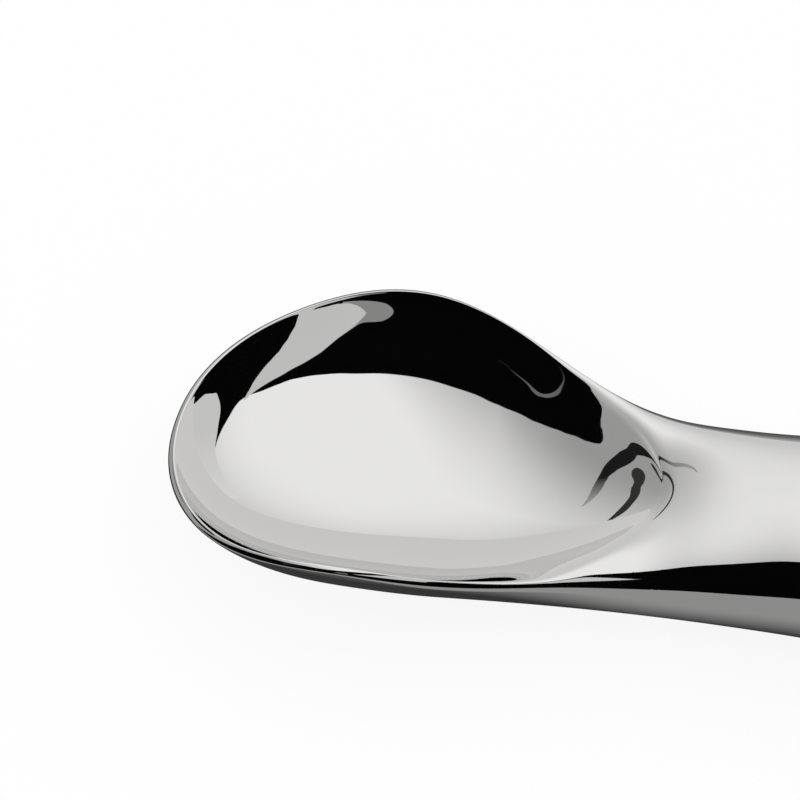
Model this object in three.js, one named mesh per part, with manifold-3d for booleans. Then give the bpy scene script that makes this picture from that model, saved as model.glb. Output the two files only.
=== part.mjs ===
// Ice cream spade in mirror polished stainless steel.
// A cast head, the bowl and its neck, carries a flat tang. The tang is held in a filled
// hollow handle of two pressed half shells, welded along the parting line.
// Millimetres, +Z up. X runs from the tip of the bowl to the butt of the handle, with the
// origin midway along the spade and the table at z = 0.
import * as THREE from 'three';
import { mergeVertices } from 'three/addons/utils/BufferGeometryUtils.js';
import Module from 'manifold-3d';

// Plan, measured from the tip
const OVERALL_LENGTH = 200;
const TIP_TO_WIDEST = 27.7;
const TIP_TO_CREASE = 66.8;
const TIP_TO_NECK = 74;
const TIP_TO_JOINT = 96;
const TIP_TO_GRIP = 142;
const BUTT_LENGTH = 20;
const BOWL_HALF_WIDTH = 25.8;
const NECK_HALF_WIDTH = 14.65;
const JOINT_HALF_WIDTH = 14.4;
const GRIP_HALF_WIDTH = 15.2;
const BUTT_HALF_WIDTH = 14.2;
const TIP_SQUARENESS = 2.1;

// Heights above the table
const TIP_HEIGHT = 12.1;
const RIM_HEIGHT = 17.5;
const WAIST_HEIGHT = 11.1;
const PARTING_HEIGHT = 12.87;
const FLOOR_HEIGHT = 2.2;

// Handle top, measured up from the parting line
const LIP_RISE = 2.15;
const NECK_RISE = 8.82;
const JOINT_RISE = 10.94;
const GRIP_RISE = 11.3;
const BUTT_RISE = 10.3;
const CROWN_SQUARENESS = 2.45;

// Underside: two small flats that rest on the table and a low arch between them
const BOWL_FLAT_DEPTH = 0.3;
const GRIP_FLAT_DEPTH = 0.25;
const ARCH_HEIGHT = 0.25;
const BUTT_LIFT = 1.6;
const BOWL_SQUARENESS = 2.03;
const WAIST_SQUARENESS = 2.284;
const HANDLE_SQUARENESS = 2.106;
const WALL_LEAN = 0.925;

// Hollow of the bowl
const LIP_WIDTH = 0.75;
const EDGE_OVERLAP = 0.85;
const CREASE_LIFT = 2.9;
const HOLLOW_ARC = 0.9185;
const EDGE_ROUND = 0.5;
const SHOULDER_ROUND = 8;
const SHOULDER_ANGLE = 32;
const SHOULDER_SPREAD = 13;
const RIM_SHARPNESS = 24;

// How far the handle top rolls down to the crease
const APRON_DEPTH = 3.1;

// Handle construction
const SHELL_WALL = 1.2;
const CORE_CLEARANCE = 0.3;
const TANG_LENGTH = 46;
const TANG_WIDTH = 14;
const TANG_THICKNESS = 6;
const TANG_ROOT = 4;
const PLUG_DIAMETER = 5;
const PLUG_CLEARANCE = 0.3;
const TIP_TO_PLUG = 168;

// Facets
const TIP_STEPS = 13;
const FLANK_STEPS = 13;
const SECTION_STEPS = 20;
const HOLLOW_RINGS = 9;
const LIP_RINGS = 4;
const HULL_RINGS = 11;
const NECK_ROWS = 7;
const GRIP_ROWS = 15;
const BUTT_ROWS = 7;
const PLUG_SIDES = 24;
const EDGE_PROBE = 0.005;
const ROUNDING = 1e-9;

const STEEL = { color: 0xc9c9c7, roughness: 0.05, metalness: 1 };
const CEMENT = { color: 0x8f8b83, roughness: 0.9, metalness: 0 };

const BUTT_START = OVERALL_LENGTH - BUTT_LENGTH;
const NECK_START = (TIP_TO_CREASE + TIP_TO_NECK) / 2;

// A cubic curve with an even bend through [place, value] stations, level beyond its ends.
// An end without a slope of its own is left straight.
function smoothCurve(stations, startSlope = null, endSlope = null) {
  const last = stations.length - 1;
  const place = stations.map((station) => station[0]);
  const value = stations.map((station) => station[1]);
  const rise = (i) => (value[i + 1] - value[i]) / (place[i + 1] - place[i]);
  const step = (i) => place[i + 1] - place[i];
  const diagonal = new Array(last + 1).fill(1);
  const upper = new Array(last + 1).fill(0);
  const bend = new Array(last + 1).fill(0);
  if (startSlope !== null) {
    diagonal[0] = 2 * step(0);
    upper[0] = step(0);
    bend[0] = 6 * (rise(0) - startSlope);
  }
  for (let i = 1; i <= last; i += 1) {
    let lower = 0;
    if (i < last) {
      lower = step(i - 1);
      diagonal[i] = 2 * (step(i - 1) + step(i));
      upper[i] = step(i);
      bend[i] = 6 * (rise(i) - rise(i - 1));
    } else if (endSlope !== null) {
      lower = step(last - 1);
      diagonal[i] = 2 * step(last - 1);
      bend[i] = 6 * (endSlope - rise(last - 1));
    }
    const share = lower / diagonal[i - 1];
    diagonal[i] -= share * upper[i - 1];
    bend[i] -= share * bend[i - 1];
  }
  for (let i = last; i >= 0; i -= 1) {
    const next = i < last ? upper[i] * bend[i + 1] : 0;
    bend[i] = (bend[i] - next) / diagonal[i];
  }
  return (s) => {
    if (s <= place[0]) return value[0];
    if (s >= place[last]) return value[last];
    let i = 0;
    while (s > place[i + 1]) i += 1;
    const before = (place[i + 1] - s) / step(i);
    const after = (s - place[i]) / step(i);
    const sag = (before ** 3 - before) * bend[i] + (after ** 3 - after) * bend[i + 1];
    return before * value[i] + after * value[i + 1] + (sag * step(i) ** 2) / 6;
  };
}

// Places between two stations, and values between two sizes
const onFront = (share) => share * TIP_TO_WIDEST;
const onFlank = (share) => THREE.MathUtils.lerp(TIP_TO_WIDEST, TIP_TO_NECK, share);
const onNeck = (share) => THREE.MathUtils.lerp(TIP_TO_NECK, TIP_TO_JOINT, share);
const between = THREE.MathUtils.lerp;

const halfWidth = smoothCurve([
  [TIP_TO_WIDEST, BOWL_HALF_WIDTH],
  [onFlank(0.266), between(NECK_HALF_WIDTH, BOWL_HALF_WIDTH, 0.846)],
  [onFlank(0.482), between(NECK_HALF_WIDTH, BOWL_HALF_WIDTH, 0.523)],
  [onFlank(0.654), between(NECK_HALF_WIDTH, BOWL_HALF_WIDTH, 0.246)],
  [onFlank(0.827), between(NECK_HALF_WIDTH, BOWL_HALF_WIDTH, 0.07)],
  [TIP_TO_NECK, NECK_HALF_WIDTH],
  [TIP_TO_JOINT, JOINT_HALF_WIDTH],
  [TIP_TO_GRIP, GRIP_HALF_WIDTH],
  [BUTT_START, BUTT_HALF_WIDTH],
], 0);

// The rim of the bowl, running on as the parting line of the handle
const sideHeight = smoothCurve([
  [0, TIP_HEIGHT],
  [onFront(0.36), between(TIP_HEIGHT, RIM_HEIGHT, 0.305)],
  [onFront(0.72), between(TIP_HEIGHT, RIM_HEIGHT, 0.76)],
  [onFlank(0.05), RIM_HEIGHT],
  [onFlank(0.31), between(WAIST_HEIGHT, RIM_HEIGHT, 0.691)],
  [onFlank(0.57), between(WAIST_HEIGHT, RIM_HEIGHT, 0.283)],
  [onFlank(0.827), WAIST_HEIGHT],
  [onNeck(0.3), between(WAIST_HEIGHT, PARTING_HEIGHT, 0.053)],
  [TIP_TO_JOINT, PARTING_HEIGHT],
], null, 0);

const crownRise = smoothCurve([
  [onFront(0.8), LIP_RISE],
  [onFlank(0.08), between(LIP_RISE, NECK_RISE, 0.098)],
  [onFlank(0.31), between(LIP_RISE, NECK_RISE, 0.254)],
  [onFlank(0.482), between(LIP_RISE, NECK_RISE, 0.249)],
  [onFlank(0.654), between(LIP_RISE, NECK_RISE, 0.387)],
  [onFlank(0.827), between(LIP_RISE, NECK_RISE, 0.666)],
  [TIP_TO_NECK, NECK_RISE],
  [onNeck(0.45), between(NECK_RISE, JOINT_RISE, 0.544)],
  [TIP_TO_JOINT, JOINT_RISE],
  [TIP_TO_GRIP, GRIP_RISE],
  [BUTT_START, BUTT_RISE],
], 0);

const keelHeight = smoothCurve([
  [TIP_TO_WIDEST, -BOWL_FLAT_DEPTH],
  [onFlank(0.45), ARCH_HEIGHT / 2],
  [TIP_TO_NECK, ARCH_HEIGHT],
  [TIP_TO_JOINT, ARCH_HEIGHT],
  [TIP_TO_GRIP, -GRIP_FLAT_DEPTH],
  [BUTT_START, BUTT_LIFT],
], 0);

const underSquareness = smoothCurve([
  [TIP_TO_WIDEST, BOWL_SQUARENESS],
  [onFlank(0.4), BOWL_SQUARENESS],
  [onFlank(0.654), WAIST_SQUARENESS],
  [onFlank(0.92), HANDLE_SQUARENESS],
  [TIP_TO_JOINT, HANDLE_SQUARENESS],
], 0, 0);

// The butt closes like the end of an egg
function buttScale(s, end) {
  const reach = Math.max(0, (s - BUTT_START) / (end - BUTT_START));
  return Math.sqrt(Math.max(0, 1 - reach * reach));
}

// 0 on the axis and 1 on the outline seen from above
function planRadius(s, y) {
  if (s >= TIP_TO_WIDEST) return Math.min(1, Math.abs(y) / halfWidth(s));
  const forward = (TIP_TO_WIDEST - s) / TIP_TO_WIDEST;
  const aside = Math.abs(y) / BOWL_HALF_WIDTH;
  const sum = forward ** TIP_SQUARENESS + aside ** TIP_SQUARENESS;
  return Math.min(1, sum ** (1 / TIP_SQUARENESS));
}

const onOutline = (s, y) => planRadius(s, y) > 1 - ROUNDING;
const bulge = (radius, squareness) => Math.max(0, 1 - radius ** squareness) ** (1 / squareness);

// The hollow is longer behind its deepest place than before it
const HOLLOW_FRONT = TIP_TO_WIDEST - LIP_WIDTH;
const HOLLOW_REAR = TIP_TO_CREASE - TIP_TO_WIDEST + LIP_WIDTH;
const HOLLOW_HALF_WIDTH = BOWL_HALF_WIDTH - LIP_WIDTH;
const HOLLOW_BEND = (1 / HOLLOW_REAR - 1 / HOLLOW_FRONT) / (HOLLOW_REAR + HOLLOW_FRONT);
const HOLLOW_SLOPE = 1 / HOLLOW_FRONT + HOLLOW_BEND * HOLLOW_FRONT;

// 0 at its deepest place and 1 where it ends
function spread(s, y) {
  const behind = s - TIP_TO_WIDEST;
  const along = HOLLOW_SLOPE * behind + HOLLOW_BEND * behind * behind;
  return Math.hypot(along, y / HOLLOW_HALF_WIDTH);
}

// The lip and the handle top, which rolls down to the end of the hollow
const APRON_REACH = spread(TIP_TO_JOINT, 0) - 1;

function crown(s, y) {
  const radius = planRadius(s, y);
  const past = THREE.MathUtils.clamp((spread(s, y) - 1) / APRON_REACH, 0, 1);
  const apron = APRON_DEPTH * (1 - past) ** 2 * (1 - radius ** 3) ** 2;
  return sideHeight(s) + crownRise(s) * bulge(radius, CROWN_SQUARENESS) - apron;
}

// A round dish, running on straight beyond its rim
const ARC_LIMIT = 0.98;

function dish(square) {
  const arc = Math.min(HOLLOW_ARC ** 2 * square, ARC_LIMIT);
  const beyond = HOLLOW_ARC ** 2 * square - arc;
  const run = beyond / (2 * Math.sqrt(1 - ARC_LIMIT));
  return (1 - Math.sqrt(1 - arc) + run) / (1 - Math.sqrt(1 - HOLLOW_ARC ** 2));
}

function hollow(s, y) {
  const lift = CREASE_LIFT * THREE.MathUtils.smoothstep(s, onFlank(0.3), TIP_TO_CREASE);
  const edge = sideHeight(s) + EDGE_OVERLAP + lift;
  return FLOOR_HEIGHT + (edge - FLOOR_HEIGHT) * dish(spread(s, y) ** 2);
}

// The top is the lower of crown and hollow, with the edge between them rounded over
function topSurface(s, y) {
  const high = crown(s, y);
  const low = hollow(s, y);
  const angle = Math.abs(THREE.MathUtils.radToDeg(Math.atan2(y, s - TIP_TO_WIDEST)));
  const shoulder = (angle - SHOULDER_ANGLE) / SHOULDER_SPREAD;
  const inside = 1 - planRadius(s, y) ** RIM_SHARPNESS;
  const round = EDGE_ROUND + SHOULDER_ROUND * Math.exp(-shoulder * shoulder) * inside;
  const closeness = Math.max(0, 1 - Math.abs(high - low) / round);
  return Math.min(high, low) - (round * closeness ** 3) / 6;
}

// The outside wall leans out at the rim of the bowl and stands upright at the neck
function underside(s, y) {
  const radius = planRadius(s, y);
  const squareness = underSquareness(s);
  const lean = 1 - THREE.MathUtils.smoothstep(s, onFlank(0.3), onFlank(0.95));
  const atRim = bulge(WALL_LEAN, squareness) * lean;
  const upright = bulge(atRim, squareness);
  const depth = (bulge(upright * radius, squareness) - atRim) / (1 - atRim);
  return Math.max(0, between(sideHeight(s), keelHeight(s), depth));
}

// A closed skin of patches whose edges share their points
class Skin {
  constructor() {
    this.corners = [];
  }

  triangle(a, b, c) {
    if (a.equals(b) || b.equals(c) || c.equals(a)) return;
    this.corners.push(a, b, c);
  }

  // Rows run one way and places in a row the other; turned faces look the other way
  patch(rows, turned = false) {
    for (let i = 0; i + 1 < rows.length; i += 1) {
      for (let j = 0; j + 1 < rows[i].length; j += 1) {
        const quad = [rows[i][j], rows[i + 1][j], rows[i + 1][j + 1], rows[i][j + 1]];
        if (turned) quad.reverse();
        this.triangle(quad[0], quad[1], quad[2]);
        this.triangle(quad[0], quad[2], quad[3]);
      }
    }
  }

  geometry() {
    const geometry = new THREE.BufferGeometry().setFromPoints(this.corners);
    return mergeVertices(geometry);
  }
}

const place = (s, y, z) => new THREE.Vector3(s - OVERALL_LENGTH / 2, y, z);
const shares = (count) => Array.from({ length: count + 1 }, (_, i) => i / count);
// Even shares drawn towards both ends, from -1 to 1
const across = shares(SECTION_STEPS).map((share) => -Math.cos(Math.PI * share));

const wasm = await Module();
wasm.setup();

function toSolid(geometry) {
  const bare = geometry.clone();
  bare.deleteAttribute('normal');
  bare.deleteAttribute('uv');
  const joined = mergeVertices(bare);
  const vertProperties = new Float32Array(joined.attributes.position.array);
  const triVerts = new Uint32Array(joined.index.array);
  return new wasm.Manifold(new wasm.Mesh({ numProp: 3, vertProperties, triVerts }));
}

function toGeometry(solid) {
  const mesh = solid.getMesh();
  const geometry = new THREE.BufferGeometry();
  geometry.setAttribute('position', new THREE.BufferAttribute(mesh.vertProperties, 3));
  geometry.setIndex(new THREE.BufferAttribute(mesh.triVerts, 1));
  return geometry;
}

// A flat bar along the axis from one place to another, on the parting plane
function barAlong(from, to, width, thickness) {
  const bar = new THREE.BoxGeometry(to - from, width, thickness);
  const middle = place((from + to) / 2, 0, PARTING_HEIGHT);
  return bar.translate(middle.x, middle.y, middle.z);
}

// A round pin standing along Z between two heights
function uprightPin(s, diameter, low, high) {
  const pin = new THREE.CylinderGeometry(diameter / 2, diameter / 2, high - low, PLUG_SIDES);
  const middle = place(s, 0, (low + high) / 2);
  return pin.rotateX(Math.PI / 2).translate(middle.x, middle.y, middle.z);
}

// Head: spokes from the deepest place of the bowl out to its outline and the neck
function bowlBoundary() {
  const neckLine = across.map((share) => [NECK_START, share * halfWidth(NECK_START)]);
  const flank = shares(FLANK_STEPS).slice(1).map((share) => {
    const s = between(NECK_START, TIP_TO_WIDEST, share);
    return [s, halfWidth(s)];
  });
  const tip = shares(TIP_STEPS).slice(1).map((share) => {
    const turn = (Math.PI / 2) * (1 - share);
    const forward = Math.cos(turn) ** (2 / TIP_SQUARENESS);
    const aside = Math.max(0, Math.sin(turn)) ** (2 / TIP_SQUARENESS);
    return [TIP_TO_WIDEST * (1 - forward), BOWL_HALF_WIDTH * aside];
  });
  const side = flank.concat(tip);
  const mirrored = side.slice(0, -1).reverse().map(([s, y]) => [s, -y]);
  return neckLine.concat(side, mirrored, [neckLine[0]]);
}

const onSpoke = ([s, y], share) => [between(TIP_TO_WIDEST, s, share), y * share];

// Share of a spoke at which the hollow reaches the crown
function edgeShare(end) {
  const depth = (share) => crown(...onSpoke(end, share)) - hollow(...onSpoke(end, share));
  let inside = 0;
  while (inside < 1 && depth(inside + EDGE_PROBE) > 0) inside += EDGE_PROBE;
  let outside = Math.min(1, inside + EDGE_PROBE);
  while (outside - inside > ROUNDING) {
    const middle = (inside + outside) / 2;
    if (depth(middle) > 0) inside = middle;
    else outside = middle;
  }
  return inside;
}

function headGeometry() {
  const skin = new Skin();
  const boundary = bowlBoundary();
  const seenOnTop = boundary.map((end) => {
    const edge = edgeShare(end);
    const inner = shares(HOLLOW_RINGS).map((share) => edge * Math.sin((Math.PI / 2) * share));
    const outer = shares(LIP_RINGS).slice(1).map((share) => between(edge, 1, share));
    return inner.concat(outer).map((share) => {
      const [s, y] = onSpoke(end, share);
      return place(s, y, onOutline(s, y) ? sideHeight(s) : topSurface(s, y));
    });
  });
  const seenBelow = boundary.map((end) => shares(HULL_RINGS).map((share) => {
    const [s, y] = onSpoke(end, Math.sin((Math.PI / 2) * share));
    return place(s, y, onOutline(s, y) ? sideHeight(s) : underside(s, y));
  }));
  skin.patch(seenOnTop, true);
  skin.patch(seenBelow);

  const neckPlaces = shares(NECK_ROWS).map((share) => between(NECK_START, TIP_TO_JOINT, share));
  const neckRow = (surface) => neckPlaces.map((s) => across.map((share) => {
    const y = share * halfWidth(s);
    return place(s, y, onOutline(s, y) ? sideHeight(s) : surface(s, y));
  }));
  const neckTop = neckRow(topSurface);
  const neckBelow = neckRow(underside);
  skin.patch(neckTop);
  skin.patch(neckBelow, true);
  skin.patch([neckBelow.at(-1), neckTop.at(-1)], true);

  const tang = barAlong(
    TIP_TO_JOINT - TANG_ROOT,
    TIP_TO_JOINT + TANG_LENGTH,
    TANG_WIDTH,
    TANG_THICKNESS,
  );
  return toGeometry(toSolid(skin.geometry()).add(toSolid(tang)));
}

// Places along the handle, closer together round the butt
function handlePlaces(end) {
  const grip = shares(GRIP_ROWS).map((share) => between(TIP_TO_JOINT, BUTT_START, share));
  const butt = shares(BUTT_ROWS).slice(1).map((share) => {
    return between(BUTT_START, end, Math.sin((Math.PI / 2) * share));
  });
  return grip.concat(butt);
}

// One half of the handle's skin, set in from the outside by an even depth
function handleHalf(inset, lower) {
  const end = OVERALL_LENGTH - inset;
  return handlePlaces(end).map((s) => across.map((share) => {
    const scale = buttScale(s, end);
    const y = share * scale * (halfWidth(s) - inset);
    const radius = Math.abs(share);
    if (lower) {
      const drop = PARTING_HEIGHT - keelHeight(s) - inset;
      const low = PARTING_HEIGHT - drop * scale * bulge(radius, underSquareness(s));
      return place(s, y, Math.max(low, inset));
    }
    const rise = crownRise(s) - inset;
    return place(s, y, PARTING_HEIGHT + rise * scale * bulge(radius, CROWN_SQUARENESS));
  }));
}

function shellGeometry(lower) {
  const skin = new Skin();
  const outside = handleHalf(0, lower);
  const inside = handleHalf(SHELL_WALL, lower);
  const first = (rows) => rows.map((row) => row[0]);
  const final = (rows) => rows.map((row) => row.at(-1));
  skin.patch(outside, lower);
  skin.patch(inside, !lower);
  skin.patch([first(inside), first(outside)], !lower);
  skin.patch([final(outside), final(inside)], !lower);
  skin.patch([inside[0], outside[0]], lower);
  return skin.geometry();
}

function lowerShellGeometry() {
  const low = keelHeight(TIP_TO_PLUG) - SHELL_WALL;
  const bore = uprightPin(TIP_TO_PLUG, PLUG_DIAMETER, low, low + 4 * SHELL_WALL);
  return toGeometry(toSolid(shellGeometry(true)).subtract(toSolid(bore)));
}

// The filling takes up the inside of the shells and grips the tang
function coreGeometry() {
  const skin = new Skin();
  const inset = SHELL_WALL + CORE_CLEARANCE;
  const above = handleHalf(inset, false);
  const below = handleHalf(inset, true);
  skin.patch(above);
  skin.patch(below, true);
  skin.patch([below[0], above[0]]);
  const slot = barAlong(
    TIP_TO_JOINT - TANG_ROOT,
    TIP_TO_JOINT + TANG_LENGTH + CORE_CLEARANCE,
    TANG_WIDTH + 2 * CORE_CLEARANCE,
    TANG_THICKNESS + 2 * CORE_CLEARANCE,
  );
  return toGeometry(toSolid(skin.geometry()).subtract(toSolid(slot)));
}

function plugGeometry() {
  const low = Math.max(0, keelHeight(TIP_TO_PLUG)) + PLUG_CLEARANCE;
  const high = keelHeight(TIP_TO_PLUG) + SHELL_WALL;
  return uprightPin(TIP_TO_PLUG, PLUG_DIAMETER - 2 * PLUG_CLEARANCE, low, high);
}

const spade = new THREE.Group();

function addPiece(name, geometry, finish) {
  geometry.computeVertexNormals();
  const piece = new THREE.Mesh(geometry, new THREE.MeshStandardMaterial(finish));
  piece.name = name;
  spade.add(piece);
}

addPiece('spade_head', headGeometry(), STEEL);
addPiece('handle_upper_shell', shellGeometry(false), STEEL);
addPiece('handle_lower_shell', lowerShellGeometry(), STEEL);
addPiece('handle_core', coreGeometry(), CEMENT);
addPiece('filler_plug', plugGeometry(), STEEL);

export default spade;
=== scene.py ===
import math
from types import SimpleNamespace

import bpy
import numpy as np
from bpy.props import FloatProperty, FloatVectorProperty, PointerProperty
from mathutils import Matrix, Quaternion, Vector


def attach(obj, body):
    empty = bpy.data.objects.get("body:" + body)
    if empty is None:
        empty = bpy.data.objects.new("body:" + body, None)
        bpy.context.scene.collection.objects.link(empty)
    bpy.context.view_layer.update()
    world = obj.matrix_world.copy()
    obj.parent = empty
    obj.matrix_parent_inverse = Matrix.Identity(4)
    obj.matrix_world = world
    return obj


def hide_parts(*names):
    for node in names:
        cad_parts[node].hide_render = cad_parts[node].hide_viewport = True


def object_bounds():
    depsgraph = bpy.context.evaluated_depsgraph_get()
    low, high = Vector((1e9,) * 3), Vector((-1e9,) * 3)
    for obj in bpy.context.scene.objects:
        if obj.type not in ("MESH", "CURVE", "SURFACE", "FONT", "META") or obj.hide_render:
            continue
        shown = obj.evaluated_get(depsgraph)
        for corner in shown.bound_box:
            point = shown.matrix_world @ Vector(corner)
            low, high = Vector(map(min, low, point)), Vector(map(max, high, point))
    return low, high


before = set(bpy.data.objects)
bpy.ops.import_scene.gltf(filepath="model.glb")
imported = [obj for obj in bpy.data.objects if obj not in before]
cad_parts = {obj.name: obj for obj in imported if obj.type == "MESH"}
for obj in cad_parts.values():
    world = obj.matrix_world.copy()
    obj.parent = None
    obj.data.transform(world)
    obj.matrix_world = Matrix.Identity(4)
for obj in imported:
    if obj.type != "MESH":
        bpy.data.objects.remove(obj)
CAD_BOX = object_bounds()

bl_info = {
    "name": "Ice Cream Spade",
    "version": (1, 0, 0),
    "blender": (4, 5, 0),
    "location": "View3D > Sidebar > Spade",
    "description": "Builds a mirror polished ice cream spade and a plain studio round it",
    "category": "Add Mesh",
}

MM = 0.001
ROUNDING = 1e-9
BODY = "root"
STEEL_FINISH = "mirror_polish"
FILLING_FINISH = "set_cement"


# Sizes and colours

def length(label, millimetres, words):
    """A length that shows in Blender's own unit."""
    return FloatProperty(
        name=label, description=words, default=millimetres * MM, unit="LENGTH", precision=5
    )


def share(label, value, words):
    """A plain number with no unit."""
    return FloatProperty(name=label, description=words, default=value, precision=4)


class SpadeSizes(bpy.types.PropertyGroup):
    """Driving dimensions of the spade, the same as those of its solids."""

    overall_length: length(
        "Overall length", (CAD_BOX[1][0] - CAD_BOX[0][0]) / MM, "Tip of the bowl to the butt"
    )
    tip_to_widest: length("Tip to widest", 27.7, "Tip to the widest place of the bowl")
    tip_to_crease: length("Tip to crease", 66.8, "Tip to the crease behind the hollow")
    tip_to_neck: length("Tip to neck", 74, "Tip to the start of the neck")
    tip_to_joint: length("Tip to joint", 96, "Tip to the weld between neck and shells")
    tip_to_grip: length("Tip to grip", 142, "Tip to the fullest place of the grip")
    butt_length: length("Butt length", 20, "Length of the rounded end")
    bowl_half_width: length("Bowl half width", 25.8, "Middle line to the outline of the bowl")
    neck_half_width: length("Neck half width", 14.65, "Middle line to the side of the neck")
    joint_half_width: length("Joint half width", 14.4, "Middle line to the side at the weld")
    grip_half_width: length("Grip half width", 15.2, "Middle line to the side of the grip")
    butt_half_width: length("Butt half width", 14.2, "Half width where the butt starts")
    tip_height: length("Tip height", 12.1, "Table to the rim at the tip")
    rim_height: length("Rim height", 17.5, "Table to the highest place of the rim")
    waist_height: length("Waist height", 11.1, "Table to the lowest place of the side line")
    parting_height: length("Parting height", 12.87, "Table to the parting line of the handle")
    floor_height: length("Floor height", 2.2, "Table to the deepest place of the hollow")
    lip_rise: length("Lip rise", 2.15, "Rise of the crown that the lip is part of")
    neck_rise: length("Neck rise", 8.82, "Parting line to the top of the neck")
    joint_rise: length("Joint rise", 10.94, "Parting line to the top at the weld")
    grip_rise: length("Grip rise", 11.3, "Parting line to the top of the grip")
    butt_rise: length("Butt rise", 10.3, "Parting line to the top where the butt starts")
    bowl_flat_depth: length("Bowl flat depth", 0.3, "Depth ground off under the bowl")
    grip_flat_depth: length("Grip flat depth", 0.25, "Depth ground off under the grip")
    arch_height: length("Arch height", 0.25, "Clear height under the neck")
    butt_lift: length("Butt lift", 1.6, "Table to the underside where the butt starts")
    lip_width: length("Lip width", 0.75, "Width of the lip round the hollow")
    edge_overlap: length("Edge overlap", 0.85, "How far the hollow's wall would pass the rim")
    crease_lift: length("Crease lift", 2.9, "More of the same at the crease")
    edge_round: length("Edge round", 0.5, "Height over which the edge of the lip is rounded")
    shoulder_round: length("Shoulder round", 8, "Height over which hollow and handle run together")
    apron_depth: length("Apron depth", 3.1, "How far the handle top rolls down to the crease")
    shell_wall: length("Shell wall", 1.2, "Thickness of the handle shells")
    tang_length: length("Tang length", 46, "Length of the tang behind the weld")
    tang_width: length("Tang width", 14, "Width of the tang")
    tang_thickness: length("Tang thickness", 6, "Thickness of the tang")
    plug_diameter: length("Plug diameter", 5, "Diameter of the filling hole")
    plug_seam: length("Plug seam", 0.04, "Hairline between the plug and its hole")
    tip_to_plug: length("Tip to plug", 168, "Tip to the filling hole")


class SpadeCurves(bpy.types.PropertyGroup):
    """Numbers that shape the curves between the driving dimensions."""

    tip_squareness: share("Tip squareness", 2.1, "2 is an ellipse, more is fuller")
    crown_squareness: share("Crown squareness", 2.45, "2 is an ellipse, more is fuller")
    bowl_squareness: share("Bowl squareness", 2.03, "Underside of the bowl")
    waist_squareness: share("Waist squareness", 2.284, "Underside between bowl and neck")
    handle_squareness: share("Handle squareness", 2.106, "Underside of the handle")
    wall_lean: share("Wall lean", 0.925, "Outside wall at the rim, 1 is upright")
    hollow_arc: share("Hollow arc", 0.9185, "Inside wall at the rim, 1 is upright")
    rim_sharpness: share("Rim sharpness", 24, "How close to the outline the rounded shoulders end")
    shoulder_angle: FloatProperty(
        name="Shoulder angle", description="Place of the rounded shoulders seen from the bowl",
        default=math.radians(32), subtype="ANGLE",
    )
    shoulder_spread: FloatProperty(
        name="Shoulder spread", description="Half width of the rounded shoulders",
        default=math.radians(13), subtype="ANGLE",
    )


class SpadeFinish(bpy.types.PropertyGroup):
    """Colours and polish."""

    steel_colour: FloatVectorProperty(
        name="Steel", description="Polished stainless steel", subtype="COLOR",
        default=(0.80, 0.795, 0.785), min=0, max=1,
    )
    haze_colour: FloatVectorProperty(
        name="Haze", description="Steel where the polish is a little hazy", subtype="COLOR",
        default=(0.775, 0.77, 0.765), min=0, max=1,
    )
    polish_roughness: share("Polish roughness", 0.02, "Roughness of the mirror polish")
    polish_spread: share("Polish spread", 0.015, "How much the polish varies")
    filling_colour: FloatVectorProperty(
        name="Filling", description="Set cement in the handle", subtype="COLOR",
        default=(0.55, 0.53, 0.50), min=0, max=1,
    )
    grit_colour: FloatVectorProperty(
        name="Grit", description="Grains in the filling", subtype="COLOR",
        default=(0.36, 0.34, 0.31), min=0, max=1,
    )


class SpadeStage(bpy.types.PropertyGroup):
    """Camera and studio."""

    camera_azimuth: FloatProperty(
        name="Camera azimuth", description="Turn of the camera from the spade's side",
        default=math.radians(14), subtype="ANGLE",
    )
    camera_elevation: FloatProperty(
        name="Camera elevation", description="Height of the camera above the table",
        default=math.radians(49.53), subtype="ANGLE",
    )
    camera_roll: FloatProperty(
        name="Camera roll", description="Turn of the camera about its line of sight",
        default=math.radians(-0.95), subtype="ANGLE",
    )
    camera_distance: length("Camera distance", 700, "Lens to the middle of the bowl")
    focal_length: share("Focal length", 233.1, "Long lens for a flat perspective")
    sensor_width: share("Sensor width", 36, "Width of the sensor")
    subject_from_tip: length("Subject from tip", 40, "Place on the spade the distance is taken to")
    subject_height: length("Subject height", 12.1, "Its height above the table")
    aim_right: length("Aim right", -8.2, "How far the picture's centre lies right of the subject")
    aim_up: length("Aim up", 9.7, "How far the picture's centre lies above the subject")
    floor_colour: FloatVectorProperty(
        name="Floor", description="Pale floor", subtype="COLOR",
        default=(0.97, 0.97, 0.97), min=0, max=1,
    )


# Curves and surfaces

def smooth_curve(stations, start_slope=None, end_slope=None):
    """A cubic curve with an even bend through (place, value) stations, level beyond its ends."""
    place, value = np.array(stations, dtype=float).T
    step = np.diff(place)
    rise = np.diff(value) / step
    system = np.eye(len(place))
    bend = np.zeros(len(place))
    for i in range(1, len(place) - 1):
        system[i, i - 1:i + 2] = step[i - 1], 2 * (step[i - 1] + step[i]), step[i]
        bend[i] = 6 * (rise[i] - rise[i - 1])
    if start_slope is not None:
        system[0, :2] = 2 * step[0], step[0]
        bend[0] = 6 * (rise[0] - start_slope)
    if end_slope is not None:
        system[-1, -2:] = step[-1], 2 * step[-1]
        bend[-1] = 6 * (end_slope - rise[-1])
    bend = np.linalg.solve(system, bend)

    def curve(s):
        s = np.clip(s, place[0], place[-1])
        i = np.clip(np.searchsorted(place, s) - 1, 0, len(place) - 2)
        before = (place[i + 1] - s) / step[i]
        after = (s - place[i]) / step[i]
        sag = (before ** 3 - before) * bend[i] + (after ** 3 - after) * bend[i + 1]
        return before * value[i] + after * value[i + 1] + sag * step[i] ** 2 / 6

    return curve


def between(low, high, part):
    """A value part of the way from one to another."""
    return low + (high - low) * part


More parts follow.
